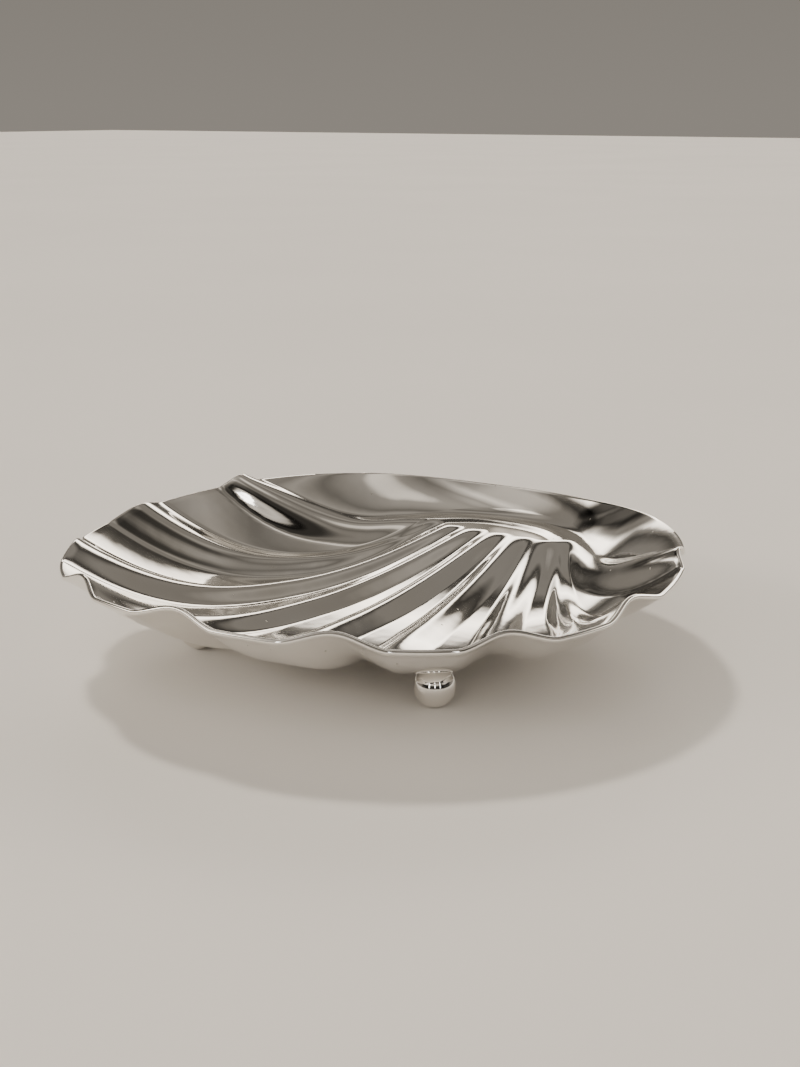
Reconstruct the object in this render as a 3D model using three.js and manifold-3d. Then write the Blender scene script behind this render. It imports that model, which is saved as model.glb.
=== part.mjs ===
import * as THREE from 'three';
import { mergeVertices } from 'three/addons/utils/BufferGeometryUtils.js';
import Module from 'manifold-3d';

// Footed dish in the form of a scallop shell: one fluted sheet of polished metal on three balls.
// Millimetres, Z up. The hinge of the shell lies towards +Y, and the dish stands on Z = 0.

// Rim and sheet: the rim waves once, twice and three times round, and draws in where it rises
const RIM_RADIUS = 73.7;
const RIM_HEIGHT = 25.4;
const RIM_RISES = [-0.36, 0.17, 1.08];
const RIM_DRAWS = [-0.86, -0.52, 1.2];
const SHEET = 0.9;

// Fan of ridges, one of them on the axis: their lines start from a short line at the hinge and bow inwards
const APEX_Y = 62;
const TIP_LINE = 20.5;
const FAN_BOW = 0.2;
const FAN_PINCH = 0.08;
const RIDGES_PER_SIDE = 3;
const RIDGE_PITCH = THREE.MathUtils.degToRad(15.4);
const RIDGE_HALF_WIDTH = THREE.MathUtils.degToRad(4.6);
const TIP_HALF_WIDTH = THREE.MathUtils.degToRad(6.8);
const OUTER_FADE = 0.7;
const RIDGE_HEIGHT = 4.5;
const RIM_RIDGE_HEIGHT = 3.1;
const RIDGE_RUN_OUT = 0.7;
const RIDGE_GROWTH = 4;

// Heights of the channels between the ridges
const TIP_HEIGHT = 16.4;
const FLOOR_HEIGHT = 7.2;
const FLOOR_RISE = 9;
const FLOOR_RISE_START = THREE.MathUtils.degToRad(40);
const FLOOR_RISE_END = THREE.MathUtils.degToRad(68);
const TIP_DISTANCE = 7.6;
const TIP_SPREAD = 3;
const TIP_SPREAD_ANGLE = THREE.MathUtils.degToRad(60);
const TIP_ROUNDING = 0.06;
const WALL_POWER = 2.9;

// Fold that runs round the hinge, from rim to rim
const FOLD_BACK_Y = 65;
const FOLD_SIDE_Y = 22;
const FOLD_BEND = 33;
const FOLD_END_X = 69;
const FOLD_HEIGHT = 0.8;
const FOLD_HALF_WIDTH = 5;
const TROUGH_HEIGHT = 16;

// Ball feet
const BALL_DIAMETER = 9.5;
const BALL_FLAT = 1.8;
const SEAT_GAP = 0.3;
const SIDE_FOOT = { x: 34.1, y: -27.2 };
const HINGE_FOOT = { x: 0, y: 6 };

// Fineness of the facets
const ROWS = 24;
const ROW_POWER = 1.4;
const RIDGE_FACETS = [-1, -0.7, -0.35, 0, 0.35, 0.7, 1];
const HINGE_COLUMNS = 24;
const BALL_FACETS = 24;

const { clamp, smoothstep, lerp } = THREE.MathUtils;
const STEP = 1e-4;

// Cross-section of a ridge: 1 on the crest, 0 at its foot and beyond
function ridgeSection(offset) {
  const v = Math.min(Math.abs(offset), 1);
  const arch = Math.cos(v * Math.PI / 2);
  return 0.5 * arch + 0.5 * arch * arch;
}

// Wave of the rim at a point of the plan, with the size of each of its turns
function rimWave(plan, sizes) {
  const turn = Math.atan2(plan.x, -plan.y);
  return sizes.reduce((sum, size, i) => sum + size * Math.cos((i + 1) * turn), 0);
}

// Distance from the apex to the rim, in the direction of an angle off the axis
function rimDistance(angle) {
  const circle = APEX_Y * Math.cos(angle) + Math.sqrt(RIM_RADIUS ** 2 - (APEX_Y * Math.sin(angle)) ** 2);
  const edge = new THREE.Vector2(circle * Math.sin(angle), APEX_Y - circle * Math.cos(angle));
  return circle - rimWave(edge, RIM_DRAWS);
}

// Distance from the apex at which the channels begin
function tipDistance(angle) {
  return TIP_DISTANCE + TIP_SPREAD * smoothstep(Math.abs(angle), 0, TIP_SPREAD_ANGLE);
}

// Plan of the fan: reach runs from 0 at the apex to 1 at the rim, angle is that of the end on the rim
function fanPoint(reach, angle) {
  const rim = rimDistance(angle);
  const end = new THREE.Vector2(rim * Math.sin(angle), APEX_Y - rim * Math.cos(angle));
  const pinch = 1 - (1 - Math.min(reach / FAN_PINCH, 1)) ** 2;
  const bow = 1 - FAN_BOW * 4 * reach * (1 - reach);
  const x = bow * lerp(TIP_LINE * Math.sin(angle) * pinch, end.x, reach);
  return new THREE.Vector2(x, lerp(APEX_Y, end.y, reach));
}

// Share of the way from the tips of the channels to the rim
function fanShare(reach, angle) {
  const tip = tipDistance(angle);
  return (reach * rimDistance(angle) - tip) / Math.max(rimDistance(angle) - tip, TIP_DISTANCE);
}

// Distance behind the fold, whose line is a bell: close to the hinge on the axis, out to the rim at the sides
function foldDistance(plan) {
  const offset = Math.abs(plan.x) / FOLD_BEND;
  const bell = 1 / (1 + offset ** 3);
  const line = lerp(FOLD_SIDE_Y, FOLD_BACK_Y, bell);
  const steep = 3 * (FOLD_BACK_Y - FOLD_SIDE_Y) / FOLD_BEND * (offset * bell) ** 2;
  return (plan.y - line) / Math.hypot(1, steep);
}

// Share of the way along the fold, from the axis to the rim at the side
function foldSide(plan) {
  return smoothstep(Math.abs(plan.x), FOLD_BEND, FOLD_END_X);
}

// Height of the fan before it is fluted: from the ledge at its tips down to the floor and up the wall
function fanHeight(reach, angle, rim) {
  const share = fanShare(reach, angle);
  const floor = FLOOR_HEIGHT + FLOOR_RISE * smoothstep(Math.abs(angle), FLOOR_RISE_START, FLOOR_RISE_END);
  if (share > 0.5) return floor + (rim - floor) * (2 * share - 1) ** WALL_POWER;
  const run = Math.max(2 * share, 0);
  const fall = run * run * (1 + TIP_ROUNDING) / (run + TIP_ROUNDING);
  return lerp(floor, TIP_HEIGHT, (1 - fall) ** 2);
}

// Height of the hinge: from a trough behind the fold up to the rim
function hingeHeight(plan, rim) {
  const behind = Math.max(foldDistance(plan), 0);
  const before = Math.max(RIM_RADIUS - rimWave(plan, RIM_DRAWS) - plan.length(), 0);
  const trough = lerp(TROUGH_HEIGHT, rim, foldSide(plan));
  return lerp(trough, rim, (behind / (behind + before + STEP)) ** 2);
}

// Height of the sheet before it is fluted
function bowlHeight(reach, angle) {
  const plan = fanPoint(reach, angle);
  const rim = RIM_HEIGHT + rimWave(plan, RIM_RISES);
  const behind = smoothstep(foldDistance(plan), -FOLD_HALF_WIDTH, FOLD_HALF_WIDTH);
  return lerp(fanHeight(reach, angle, rim), hingeHeight(plan, rim), behind);
}

function bowlPoint(reach, angle) {
  const plan = fanPoint(reach, angle);
  return new THREE.Vector3(plan.x, plan.y, bowlHeight(reach, angle));
}

// How far the flutes and the fold lift the sheet off the bowl
function ridgeLift(reach, angle) {
  const share = clamp(fanShare(reach, angle), 0, 1);
  const growth = 1 - (1 - Math.min(share / RIDGE_RUN_OUT, 1)) ** RIDGE_GROWTH;
  const height = growth * lerp(RIDGE_HEIGHT, RIM_RIDGE_HEIGHT, smoothstep(share, RIDGE_RUN_OUT, 1));
  const early = 1 - smoothstep(share, 0, RIDGE_RUN_OUT);
  const width = lerp(RIDGE_HALF_WIDTH, TIP_HALF_WIDTH, early);
  let lift = foldLift(reach, angle);
  for (let i = -RIDGES_PER_SIDE; i <= RIDGES_PER_SIDE; i += 1) {
    const fade = 1 - OUTER_FADE * early * (i / RIDGES_PER_SIDE) ** 2;
    lift += fade * height * ridgeSection((angle - i * RIDGE_PITCH) / width);
  }
  return lift;
}

// The fold rises to a flute of the rim at both sides
function foldLift(reach, angle) {
  const plan = fanPoint(reach, angle);
  const height = lerp(FOLD_HEIGHT, RIM_RIDGE_HEIGHT, foldSide(plan));
  return height * ridgeSection(foldDistance(plan) / FOLD_HALF_WIDTH);
}

// Unit normal of a surface, pointing up and into the dish
function upward(surface, reach, angle) {
  const r = clamp(reach, 0.01, 1);
  const along = surface(r + STEP, angle).sub(surface(r - STEP, angle));
  const across = surface(r, angle + STEP).sub(surface(r, angle - STEP));
  return along.cross(across).normalize();
}

// Inside of the dish, and the same surface pushed out by a depth below it
function insidePoint(reach, angle) {
  const lift = ridgeLift(reach, angle);
  return bowlPoint(reach, angle).addScaledVector(upward(bowlPoint, reach, angle), lift);
}
function depthPoint(reach, angle, depth) {
  return insidePoint(reach, angle).addScaledVector(upward(insidePoint, reach, angle), -depth);
}

// Angles of the fan lines that carry the mesh: close together on the ridges, one between
function fanAngles() {
  const angles = [];
  for (let i = -RIDGES_PER_SIDE - 1; i <= RIDGES_PER_SIDE + 1; i += 1) {
    const crest = i * RIDGE_PITCH;
    for (const facet of RIDGE_FACETS) angles.push(crest + facet * RIDGE_HALF_WIDTH);
    if (i <= RIDGES_PER_SIDE) angles.push(crest + RIDGE_PITCH / 2);
  }
  const first = angles[0] + 2 * Math.PI;
  const last = angles[angles.length - 1];
  for (let i = 1; i < HINGE_COLUMNS; i += 1) angles.push(lerp(last, first, i / HINGE_COLUMNS));
  return angles.map((angle) => (angle > Math.PI ? angle - 2 * Math.PI : angle));
}

// Closed solid between two depths below the inside of the dish
function sheetGeometry(topDepth, bottomDepth) {
  const angles = fanAngles();
  const columns = angles.length;
  const positions = [];
  const index = [];
  const pole = (side) => side * (1 + ROWS * columns);
  const ring = (side, row, column) => pole(side) + 1 + (row - 1) * columns + column % columns;
  for (const depth of [topDepth, bottomDepth]) {
    positions.push(...depthPoint(0, 0, depth).toArray());
    for (let row = 1; row <= ROWS; row += 1) {
      const reach = (row / ROWS) ** ROW_POWER;
      for (const angle of angles) positions.push(...depthPoint(reach, angle, depth).toArray());
    }
  }
  const quad = (a, b, c, d) => index.push(a, b, c, a, c, d);
  for (let column = 0; column < columns; column += 1) {
    const next = column + 1;
    index.push(pole(0), ring(0, 1, column), ring(0, 1, next));
    index.push(pole(1), ring(1, 1, next), ring(1, 1, column));
    for (let row = 1; row < ROWS; row += 1) {
      quad(ring(0, row, column), ring(0, row + 1, column), ring(0, row + 1, next), ring(0, row, next));
      quad(ring(1, row, column), ring(1, row, next), ring(1, row + 1, next), ring(1, row + 1, column));
    }
    quad(ring(0, ROWS, column), ring(1, ROWS, column), ring(1, ROWS, next), ring(0, ROWS, next));
  }
  const geometry = new THREE.BufferGeometry();
  geometry.setAttribute('position', new THREE.Float32BufferAttribute(positions, 3));
  geometry.setIndex(index);
  return geometry;
}

// Whole ball with a small flat that it stands on
function ballGeometry() {
  const radius = BALL_DIAMETER / 2;
  const start = Math.asin(BALL_FLAT / BALL_DIAMETER);
  const rise = radius * Math.cos(start);
  const profile = [new THREE.Vector2(0, 0)];
  const steps = BALL_FACETS / 2;
  for (let i = 0; i <= steps; i += 1) {
    const turn = lerp(start, Math.PI, i / steps);
    profile.push(new THREE.Vector2(i < steps ? radius * Math.sin(turn) : 0, rise - radius * Math.cos(turn)));
  }
  return new THREE.LatheGeometry(profile, BALL_FACETS).rotateX(Math.PI / 2);
}

const wasm = await Module();
wasm.setup();

function toSolid(geometry) {
  const bare = geometry.clone();
  bare.deleteAttribute('normal');
  bare.deleteAttribute('uv');
  const merged = mergeVertices(bare, 1e-4);
  const vertProperties = new Float32Array(merged.attributes.position.array);
  const triVerts = new Uint32Array(merged.index.array);
  return new wasm.Manifold(new wasm.Mesh({ numProp: 3, vertProperties, triVerts }));
}

function toGeometry(solid) {
  const mesh = solid.getMesh();
  const geometry = new THREE.BufferGeometry();
  geometry.setAttribute('position', new THREE.Float32BufferAttribute(mesh.vertProperties, 3));
  geometry.setIndex(new THREE.Uint32BufferAttribute(mesh.triVerts, 1));
  return geometry;
}

const silver = { color: 0xd8d4cc, roughness: 0.08, metalness: 1 };
const dish = new THREE.Group();

function addPiece(name, geometry) {
  const mesh = new THREE.Mesh(geometry, new THREE.MeshStandardMaterial(silver));
  mesh.name = name;
  dish.add(mesh);
}

addPiece('shell_bowl', sheetGeometry(0, SHEET));

// Each ball is dished on top to the form of the sheet above it
const clearance = toSolid(sheetGeometry(-BALL_DIAMETER, SHEET + SEAT_GAP));
function addFoot(name, x, y) {
  const ball = toSolid(ballGeometry().translate(x, y, 0));
  addPiece(name, toGeometry(ball.subtract(clearance)));
}
addFoot('foot_left', -SIDE_FOOT.x, SIDE_FOOT.y);
addFoot('foot_right', SIDE_FOOT.x, SIDE_FOOT.y);
addFoot('foot_hinge', HINGE_FOOT.x, HINGE_FOOT.y);

// The origin lies on the ground under the middle of the dish
const middle = new THREE.Box3().setFromObject(dish).getCenter(new THREE.Vector3());
for (const piece of dish.children) piece.geometry.translate(-middle.x, -middle.y, 0);

export default dish;
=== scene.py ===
import math

import bmesh
import bpy
import numpy as np
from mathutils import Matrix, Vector
from mathutils.bvhtree import BVHTree


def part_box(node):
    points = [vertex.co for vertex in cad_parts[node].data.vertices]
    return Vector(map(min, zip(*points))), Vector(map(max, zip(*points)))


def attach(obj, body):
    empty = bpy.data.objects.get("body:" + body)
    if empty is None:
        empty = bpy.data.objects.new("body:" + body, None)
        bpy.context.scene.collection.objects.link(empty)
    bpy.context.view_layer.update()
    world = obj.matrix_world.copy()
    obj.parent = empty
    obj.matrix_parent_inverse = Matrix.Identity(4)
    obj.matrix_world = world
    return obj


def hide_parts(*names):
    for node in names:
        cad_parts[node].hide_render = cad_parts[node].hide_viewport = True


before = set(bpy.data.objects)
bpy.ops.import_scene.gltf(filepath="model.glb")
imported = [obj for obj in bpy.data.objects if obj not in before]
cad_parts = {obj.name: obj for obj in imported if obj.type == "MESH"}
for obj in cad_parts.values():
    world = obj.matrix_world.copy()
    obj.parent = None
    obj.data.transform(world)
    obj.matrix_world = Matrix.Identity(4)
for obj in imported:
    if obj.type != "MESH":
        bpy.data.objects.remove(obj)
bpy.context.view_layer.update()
MM = 0.001

# Form of the dish, in millimetres, with the ridges inside the dish lower than on the rim
RIM_RADIUS = 73.7
RIM_HEIGHT = 25.4
RIM_RISES = (-0.36, 0.17, 1.08)
RIM_DRAWS = (-0.86, -0.52, 1.2)
SHEET = 0.9
APEX_Y = 62
TIP_LINE = 20.5
FAN_BOW = 0.2
FAN_PINCH = 0.08
RIDGES_PER_SIDE = 3
RIDGE_PITCH = math.radians(15.4)
RIDGE_HALF_WIDTH = math.radians(4.6)
TIP_HALF_WIDTH = math.radians(6.8)
OUTER_FADE = 0.7
RIDGE_HEIGHT = 2.6
RIM_RIDGE_HEIGHT = 3.1
RIDGE_RUN_OUT = 0.7
RIDGE_GROWTH = 4
TIP_HEIGHT = 16.4
FLOOR_HEIGHT = 7.2
FLOOR_RISE = 9
FLOOR_RISE_START = math.radians(40)
FLOOR_RISE_END = math.radians(68)
TIP_DISTANCE = 7.6
TIP_SPREAD = 3
TIP_SPREAD_ANGLE = math.radians(60)
TIP_ROUNDING = 0.06
WALL_POWER = 2.9
FOLD_BACK_Y = 65
FOLD_SIDE_Y = 22
FOLD_BEND = 33
FOLD_END_X = 69
FOLD_HEIGHT = 0.8
FOLD_HALF_WIDTH = 5
TROUGH_HEIGHT = 16
BALL_DIAMETER = 9.5
BALL_FLAT = 1.8
HINGE_FOOT_Y = 6
STEP = 1e-4
POLE_MARGIN = 0.01

# Rounded lip of the rim, and the fineness of the mesh
LIP = 1.2
LIP_RUN = 2.2
LIP_STEPS = 7
ROWS = 140
ROW_POWER = 1.4
FAN_STEP = math.radians(0.5)
FAN_SPAN = math.radians(76)
HINGE_COLUMNS = 220
BALL_RINGS = 40
BALL_SEGMENTS = 72
BALL_TOP_HOLE = 0.02
BALL_SEAT_GAP = 0.02
SHARP_ANGLE = math.radians(35)

feet = {name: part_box(name) for name in ("foot_left", "foot_right", "foot_hinge")}
middle_y = HINGE_FOOT_Y - sum(corner[1] for corner in feet["foot_hinge"]) / 2 / MM


def lerp(a, b, t):
    return a + (b - a) * t


def smoothstep(x, low, high):
    t = np.clip((x - low) / (high - low), 0, 1)
    return t * t * (3 - 2 * t)


def ridge_section(offset):
    arch = np.cos(np.minimum(np.abs(offset), 1) * math.pi / 2)
    return 0.5 * arch + 0.5 * arch * arch


def rim_wave(x, y, sizes):
    turn = np.arctan2(x, -y)
    return sum(size * np.cos((i + 1) * turn) for i, size in enumerate(sizes))


def rim_distance(angle):
    circle = APEX_Y * np.cos(angle) + np.sqrt(RIM_RADIUS ** 2 - (APEX_Y * np.sin(angle)) ** 2)
    return circle - rim_wave(circle * np.sin(angle), APEX_Y - circle * np.cos(angle), RIM_DRAWS)


def fan_point(reach, angle):
    rim = rim_distance(angle)
    end_x, end_y = rim * np.sin(angle), APEX_Y - rim * np.cos(angle)
    start_x = TIP_LINE * np.sin(angle) * (1 - (1 - np.minimum(reach / FAN_PINCH, 1)) ** 2)
    bow = 1 - FAN_BOW * 4 * reach * (1 - reach)
    return bow * lerp(start_x, end_x, reach), lerp(APEX_Y, end_y, reach)


def fan_share(reach, angle):
    tip = TIP_DISTANCE + TIP_SPREAD * smoothstep(np.abs(angle), 0, TIP_SPREAD_ANGLE)
    rim = rim_distance(angle)
    return (reach * rim - tip) / np.maximum(rim - tip, TIP_DISTANCE)


def fold_distance(x, y):
    offset = np.abs(x) / FOLD_BEND
    bell = 1 / (1 + offset ** 3)
    line = lerp(FOLD_SIDE_Y, FOLD_BACK_Y, bell)
    steep = 3 * (FOLD_BACK_Y - FOLD_SIDE_Y) / FOLD_BEND * (offset * bell) ** 2
    return (y - line) / np.hypot(1, steep)


def fold_side(x):
    return smoothstep(np.abs(x), FOLD_BEND, FOLD_END_X)


def bowl_height(reach, angle):
    x, y = fan_point(reach, angle)
    rim = RIM_HEIGHT + rim_wave(x, y, RIM_RISES)
    share = fan_share(reach, angle)
    floor = FLOOR_HEIGHT + FLOOR_RISE * smoothstep(np.abs(angle), FLOOR_RISE_START, FLOOR_RISE_END)
    wall = floor + (rim - floor) * np.maximum(2 * share - 1, 0) ** WALL_POWER
    run = np.clip(2 * share, 0, 1)
    fall = run * run * (1 + TIP_ROUNDING) / (run + TIP_ROUNDING)
    fan = np.where(share > 0.5, wall, lerp(floor, TIP_HEIGHT, (1 - fall) ** 2))
    behind = fold_distance(x, y)
    past = np.maximum(behind, 0)
    before = np.maximum(RIM_RADIUS - rim_wave(x, y, RIM_DRAWS) - np.hypot(x, y), 0)
    trough = lerp(TROUGH_HEIGHT, rim, fold_side(x))
    hinge = lerp(trough, rim, (past / (past + before + STEP)) ** 2)
    return lerp(fan, hinge, smoothstep(behind, -FOLD_HALF_WIDTH, FOLD_HALF_WIDTH))


def bowl_point(reach, angle):
    x, y = fan_point(reach, angle)
    return np.stack([x, y, bowl_height(reach, angle)], -1)


def fold_lift(x, y):
    height = lerp(FOLD_HEIGHT, RIM_RIDGE_HEIGHT, fold_side(x))
    return height * ridge_section(fold_distance(x, y) / FOLD_HALF_WIDTH)


def ridge_lift(reach, angle):
    share = np.clip(fan_share(reach, angle), 0, 1)
    growth = 1 - (1 - np.minimum(share / RIDGE_RUN_OUT, 1)) ** RIDGE_GROWTH
    height = growth * lerp(RIDGE_HEIGHT, RIM_RIDGE_HEIGHT, smoothstep(share, RIDGE_RUN_OUT, 1))
    early = 1 - smoothstep(share, 0, RIDGE_RUN_OUT)
    width = lerp(RIDGE_HALF_WIDTH, TIP_HALF_WIDTH, early)
    lift = fold_lift(*fan_point(reach, angle))
    for i in range(-RIDGES_PER_SIDE, RIDGES_PER_SIDE + 1):
        fade = 1 - OUTER_FADE * early * (i / RIDGES_PER_SIDE) ** 2
        lift = lift + fade * height * ridge_section((angle - i * RIDGE_PITCH) / width)
    return lift


def upward(surface, reach, angle):
    r = np.clip(reach, POLE_MARGIN, 1)
    along = surface(r + STEP, angle) - surface(r - STEP, angle)
    across = surface(r, angle + STEP) - surface(r, angle - STEP)
    normal = np.cross(along, across)
    return normal / np.linalg.norm(normal, axis=-1, keepdims=True)


def inside_point(reach, angle):
    return bowl_point(reach, angle) + upward(bowl_point, reach, angle) * ridge_lift(reach, angle)[..., None]


def make_object(name, vertices, faces):
    mesh = bpy.data.meshes.new(name)
    mesh.from_pydata(vertices, [], faces)
    mesh.polygons.foreach_set("use_smooth", [True] * len(mesh.polygons))
    mesh.set_sharp_from_angle(angle=SHARP_ANGLE)
    mesh.update()
    piece = bpy.data.objects.new(name, mesh)
    bpy.context.scene.collection.objects.link(piece)
    return piece


def fan_angles():
    fan = np.arange(-FAN_SPAN, FAN_SPAN + FAN_STEP / 2, FAN_STEP)
    hinge = np.linspace(fan[-1], fan[0] + 2 * math.pi, HINGE_COLUMNS + 1)[1:-1]
    hinge = np.where(hinge > math.pi, hinge - 2 * math.pi, hinge)
    return np.concatenate([fan, hinge])


def make_shell():
    angles = fan_angles()
    columns = len(angles)
    lip_reach = 1 - LIP / 2 / rim_distance(angles)
    reach = np.outer((np.arange(1, ROWS + 1) / ROWS) ** ROW_POWER, lip_reach)
    angle = np.broadcast_to(angles, reach.shape)
    top = inside_point(reach, angle)
    normal = upward(inside_point, reach, angle)
    left = (1 - reach) * rim_distance(angle)
    depth = lerp(LIP, SHEET, smoothstep(left, LIP / 2, LIP_RUN))
    bottom = top - normal * depth[..., None]
    edge_out = inside_point(lip_reach + STEP, angles) - inside_point(lip_reach - STEP, angles)
    edge_out /= np.linalg.norm(edge_out, axis=-1, keepdims=True)
    centre = (top[-1] + bottom[-1]) / 2
    turns = np.linspace(0, math.pi, LIP_STEPS + 2)[1:-1]
    lip = [centre + LIP / 2 * (math.cos(t) * normal[-1] + math.sin(t) * edge_out) for t in turns]
    rings = [*top, *lip, *bottom[::-1]]
    zero = np.zeros(1)
    pole = inside_point(zero, zero)[0]
    pole_low = pole - upward(inside_point, zero, zero)[0] * SHEET
    vertices = np.concatenate([*rings, pole[None], pole_low[None]])
    vertices[:, 1] -= middle_y
    faces = []
    for row in range(len(rings) - 1):
        for column in range(columns):
            a = row * columns + column
            b = row * columns + (column + 1) % columns
            faces.append((a, a + columns, b + columns, b))
    last = (len(rings) - 1) * columns
    for column in range(columns):
        after = (column + 1) % columns
        faces.append((len(vertices) - 2, column, after))
        faces.append((len(vertices) - 1, last + after, last + column))
    return make_object("shell_sheet", (vertices * MM).tolist(), faces)


def make_ball(name, centre, underside):
    radius = BALL_DIAMETER / 2
    start = math.asin(BALL_FLAT / BALL_DIAMETER)
    rise = radius * math.cos(start)
    vertices = []
    for i in range(BALL_RINGS + 1):
        turn = lerp(start, math.pi - BALL_TOP_HOLE, i / BALL_RINGS)
        for j in range(BALL_SEGMENTS):
            swing = 2 * math.pi * j / BALL_SEGMENTS
            x = centre[0] + radius * math.sin(turn) * math.cos(swing) * MM
            y = centre[1] + radius * math.sin(turn) * math.sin(swing) * MM
            z = (rise - radius * math.cos(turn)) * MM
            if turn > math.pi / 2:
                hit = underside.ray_cast(Vector((x, y, 0)), Vector((0, 0, 1)))[0]
                z = min(z, hit.z - BALL_SEAT_GAP * MM)
            vertices.append((x, y, z))
    faces = []
    for i in range(BALL_RINGS):
        for j in range(BALL_SEGMENTS):
            a = i * BALL_SEGMENTS + j
            b = i * BALL_SEGMENTS + (j + 1) % BALL_SEGMENTS
            faces.append((a, b, b + BALL_SEGMENTS, a + BALL_SEGMENTS))
    faces.append(tuple(reversed(range(BALL_SEGMENTS))))
    faces.append(tuple(range(BALL_RINGS * BALL_SEGMENTS, (BALL_RINGS + 1) * BALL_SEGMENTS)))
    return make_object(name, vertices, faces)


# Materials

def add_node(tree, kind, **values):
    node = tree.nodes.new(kind)
    for key, value in values.items():
        if key in node.inputs:
            node.inputs[key].default_value = value
        else:
            setattr(node, key, value)
    return node


def ramp(tree, source, stops):
    node = tree.nodes.new("ShaderNodeValToRGB")
    tree.links.new(source, node.inputs["Fac"])
    elements = node.color_ramp.elements
    while len(elements) < len(stops):
        elements.new(0.5)
    for element, (position, colour) in zip(elements, stops):
        element.position = position
        element.color = (*colour, 1)
    return node.outputs["Color"]


def silver(name, warmth):
    material = bpy.data.materials.new(name)
    material.use_nodes = True
    tree = material.node_tree
    shader = tree.nodes["Principled BSDF"]
    shader.inputs["Metallic"].default_value = 1.0
    place = add_node(tree, "ShaderNodeTexCoord").outputs["Object"]

    def noise(scale, detail, roughness=0.5, stretch=None):
        source = place
        if stretch:
            mapping = add_node(tree, "ShaderNodeMapping", Scale=stretch)
            tree.links.new(place, mapping.inputs["Vector"])
            source = mapping.outputs["Vector"]
        node = add_node(tree, "ShaderNodeTexNoise", Scale=scale, Detail=detail, Roughness=roughness)
        tree.links.new(source, node.inputs["Vector"])
        return node.outputs["Fac"]

    # Colour: bright silver with a faint warm bloom, and rare dark specks
    bloom = ramp(tree, noise(26, 5, 0.6), [
        (0.30, (0.80 + warmth, 0.77 + warmth / 2, 0.72)),
        (0.62, (0.90, 0.885, 0.86)),
    ])
    cells = add_node(tree, "ShaderNodeTexVoronoi", Scale=420)
    tree.links.new(place, cells.inputs["Vector"])
    lone = add_node(tree, "ShaderNodeMath", operation="GREATER_THAN")
    lone.inputs[1].default_value = 0.93
    split = add_node(tree, "ShaderNodeSeparateColor")
    tree.links.new(cells.outputs["Color"], split.inputs["Color"])
    tree.links.new(split.outputs["Red"], lone.inputs[0])
    close = add_node(tree, "ShaderNodeMath", operation="LESS_THAN")
    close.inputs[1].default_value = 0.11
    tree.links.new(cells.outputs["Distance"], close.inputs[0])
    speck = add_node(tree, "ShaderNodeMath", operation="MULTIPLY")
    tree.links.new(lone.outputs[0], speck.inputs[0])
    tree.links.new(close.outputs[0], speck.inputs[1])
    colour = add_node(tree, "ShaderNodeMix", data_type="RGBA")
    tree.links.new(speck.outputs[0], colour.inputs["Factor"])
    tree.links.new(bloom, colour.inputs[6])
    colour.inputs[7].default_value = (0.62, 0.59, 0.55, 1)
    tree.links.new(colour.outputs[2], shader.inputs["Base Color"])

    # Polish: a fine haze that varies, and specks of dust that are matt
    haze = add_node(tree, "ShaderNodeMapRange")
    haze.inputs["From Min"].default_value = 0.35
    haze.inputs["From Max"].default_value = 0.75
    haze.inputs["To Min"].default_value = 0.035
    haze.inputs["To Max"].default_value = 0.11
    tree.links.new(noise(90, 6, 0.65), haze.inputs["Value"])
    matt = add_node(tree, "ShaderNodeMath", operation="MULTIPLY_ADD")
    matt.inputs[1].default_value = 0.45
    tree.links.new(speck.outputs[0], matt.inputs[0])
    tree.links.new(haze.outputs["Result"], matt.inputs[2])
    tree.links.new(matt.outputs[0], shader.inputs["Roughness"])

    # Surface: the soft unevenness of pressed sheet, and fine wiping scratches
    uneven = add_node(tree, "ShaderNodeBump", Strength=0.16, Distance=0.0004)
    tree.links.new(noise(95, 2), uneven.inputs["Height"])
    scratch = add_node(tree, "ShaderNodeBump", Strength=0.04, Distance=0.00005)
    tree.links.new(noise(1500, 3, 0.6, (1, 0.12, 0.4)), scratch.inputs["Height"])
    tree.links.new(uneven.outputs["Normal"], scratch.inputs["Normal"])
    tree.links.new(scratch.outputs["Normal"], shader.inputs["Normal"])
    return material


def pale_floor():
    material = bpy.data.materials.new("pale_floor")
    material.use_nodes = True
    tree = material.node_tree
    shader = tree.nodes["Principled BSDF"]
    place = add_node(tree, "ShaderNodeTexCoord").outputs["Object"]
    cloud = add_node(tree, "ShaderNodeTexNoise", Scale=3.0, Detail=3.0)
    tree.links.new(place, cloud.inputs["Vector"])
    tree.links.new(ramp(tree, cloud.outputs["Fac"], [
        (0.3, (0.78, 0.755, 0.72)), (0.7, (0.82, 0.795, 0.76)),
    ]), shader.inputs["Base Color"])
    shader.inputs["Roughness"].default_value = 0.5
    shader.inputs["Specular IOR Level"].default_value = 0.35
    return material


# The dish and its feet
shell = make_shell()
low = bmesh.new()
low.from_mesh(shell.data)
underside = BVHTree.FromBMesh(low)
low.free()
balls = {}
for node, (lowest, highest) in feet.items():
    centre = [(lowest[i] + highest[i]) / 2 for i in range(2)]
    balls[node] = make_ball(node.replace("foot", "ball"), centre, underside)

shell.data.materials.append(silver("silver_sheet", 0.0))
ball_silver = silver("silver_ball", 0.01)
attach(shell, "root")
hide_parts("shell_bowl")
for node, ball in balls.items():
    ball.data.materials.append(ball_silver)
    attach(ball, "root")
    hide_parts(node)

# Floor, in metres
FLOOR_REACH = 6
corners = [(x * FLOOR_REACH, y * FLOOR_REACH, 0) for x, y in ((-1, -1), (1, -1), (1, 1), (-1, 1))]
floor = make_object("floor", corners, [(0, 1, 2, 3)])
floor.data.materials.append(pale_floor())

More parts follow.
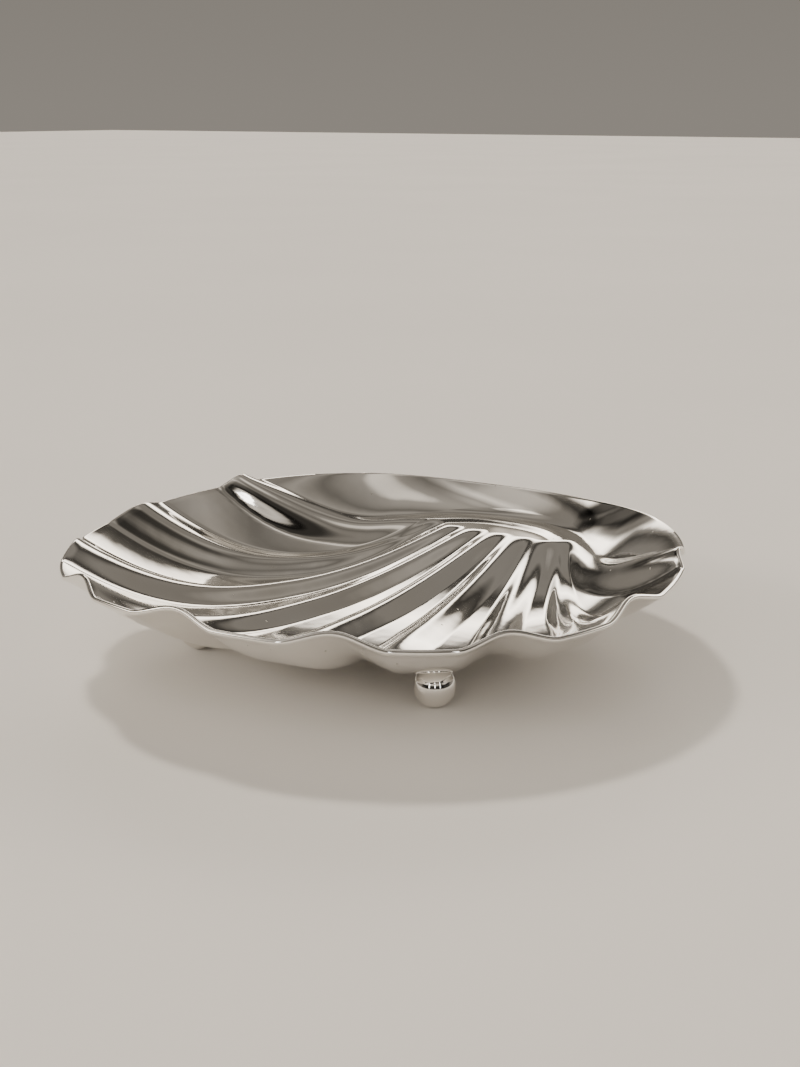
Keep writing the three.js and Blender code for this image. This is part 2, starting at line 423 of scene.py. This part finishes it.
# Camera at the photograph's viewing angle, with its place and aim in metres
CAMERA_PLACE = (0.2150, -0.3013, 0.1269)
CAMERA_AIM = (-0.5505, 0.7938, -0.2586)
camera_data = bpy.data.cameras.new("camera")
camera_data.sensor_fit = "HORIZONTAL"
camera_data.sensor_width = 36
camera_data.lens = 72
camera = bpy.data.objects.new("camera", camera_data)
bpy.context.scene.collection.objects.link(camera)
camera.location = Vector(CAMERA_PLACE) - Vector((0, middle_y * MM, 0))
camera.rotation_euler = Vector(CAMERA_AIM).to_track_quat("-Z", "Y").to_euler()
bpy.context.scene.camera = camera


# Soft studio light
def lamp(name, towards, energy, spread, colour):
    data = bpy.data.lights.new(name, "SUN")
    data.energy = energy
    data.angle = math.radians(spread)
    data.color = colour
    light = bpy.data.objects.new(name, data)
    bpy.context.scene.collection.objects.link(light)
    light.rotation_euler = Vector(towards).to_track_quat("Z", "Y").to_euler()
    light.visible_glossy = False


def strip(name, place, size, energy):
    data = bpy.data.lights.new(name, "AREA")
    data.shape = "RECTANGLE"
    data.size, data.size_y = size
    data.energy = energy
    data.color = (1, 0.97, 0.92)
    light = bpy.data.objects.new(name, data)
    bpy.context.scene.collection.objects.link(light)
    light.location = place
    light.rotation_euler = Vector(place).to_track_quat("Z", "Y").to_euler()
    light.visible_camera = False


lamp("key", (-0.557, 0.321, 0.77), 1.7, 6, (1, 0.91, 0.80))
lamp("fill", (0.284, -0.694, 0.66), 0.8, 50, (1, 0.92, 0.82))
strip("strip_left", (0.123, -1.117, 0.35), (0.07, 0.50), 0.7)
strip("strip_middle", (0.682, -0.953, 0.30), (0.05, 0.35), 0.5)
strip("strip_right", (1.050, -0.532, 0.38), (0.06, 0.55), 0.6)

# Surroundings: a bright band low on the walls, a dim room above it, and lighter and darker patches
AHEAD = Vector((-0.572, 0.820, 0))
RIGHT = Vector((0.820, 0.572, 0))
UP = Vector((0, 0, 1))
WALL_TINT = (1, 0.91, 0.79)

# Light on the walls by height: degrees above the floor, and brightness
WALL_LIGHT = [
    (0, 0.27), (9, 0.22), (14, 0.07), (17, 0.30), (19, 3.00), (24, 5.00), (29, 3.00), (32, 0.12),
    (36, 0.05), (41, 0.24), (52, 0.22), (58, 0.38), (66, 0.15), (90, 0.42),
]

# Patches: degrees to the right of ahead, degrees up, inner and outer radius in degrees, and gain
PATCHES = [
    (180, 12, 35, 58, 0.16), (125, 12, 22, 42, 0.22), (-130, 4, 14, 28, 0.22),
    (90, 54, 4, 14, 0.15), (-58, 27, 5, 13, 0.03), (-40, 25, 6, 14, 0.03), (-27, 22, 4, 11, 0.06),
    (-125, 45, 15, 35, 2.8), (-75, 63, 4, 10, 5), (120, 80, 3, 10, 2.5),
]


def bearing(turn, rise):
    turn, rise = math.radians(turn), math.radians(rise)
    level = AHEAD * math.cos(turn) + RIGHT * math.sin(turn)
    return level * math.cos(rise) + UP * math.sin(rise)


world = bpy.data.worlds.new("studio")
bpy.context.scene.world = world
world.use_nodes = True
sky = world.node_tree
background = sky.nodes["Background"]
direction = add_node(sky, "ShaderNodeTexCoord").outputs["Generated"]
parts = add_node(sky, "ShaderNodeSeparateXYZ")
sky.links.new(direction, parts.inputs["Vector"])
walls = ramp(sky, parts.outputs["Z"], [
    (math.sin(math.radians(rise)), [light * share for share in WALL_TINT]) for rise, light in WALL_LIGHT
])
sky.links.new(walls, background.inputs["Color"])


def patch(turn, rise, inner, outer, gain):
    dot = add_node(sky, "ShaderNodeVectorMath", operation="DOT_PRODUCT")
    dot.inputs[1].default_value = bearing(turn, rise)
    sky.links.new(direction, dot.inputs[0])
    span = add_node(sky, "ShaderNodeMapRange", interpolation_type="SMOOTHSTEP")
    limits = (math.cos(math.radians(outer)), math.cos(math.radians(inner)), 1, gain)
    for key, value in zip(("From Min", "From Max", "To Min", "To Max"), limits):
        span.inputs[key].default_value = value
    sky.links.new(dot.outputs["Value"], span.inputs["Value"])
    return span.outputs["Result"]


strength = patch(*PATCHES[0])
for spot in PATCHES[1:]:
    both = add_node(sky, "ShaderNodeMath", operation="MULTIPLY")
    sky.links.new(strength, both.inputs[0])
    sky.links.new(patch(*spot), both.inputs[1])
    strength = both.outputs[0]
sky.links.new(strength, background.inputs["Strength"])
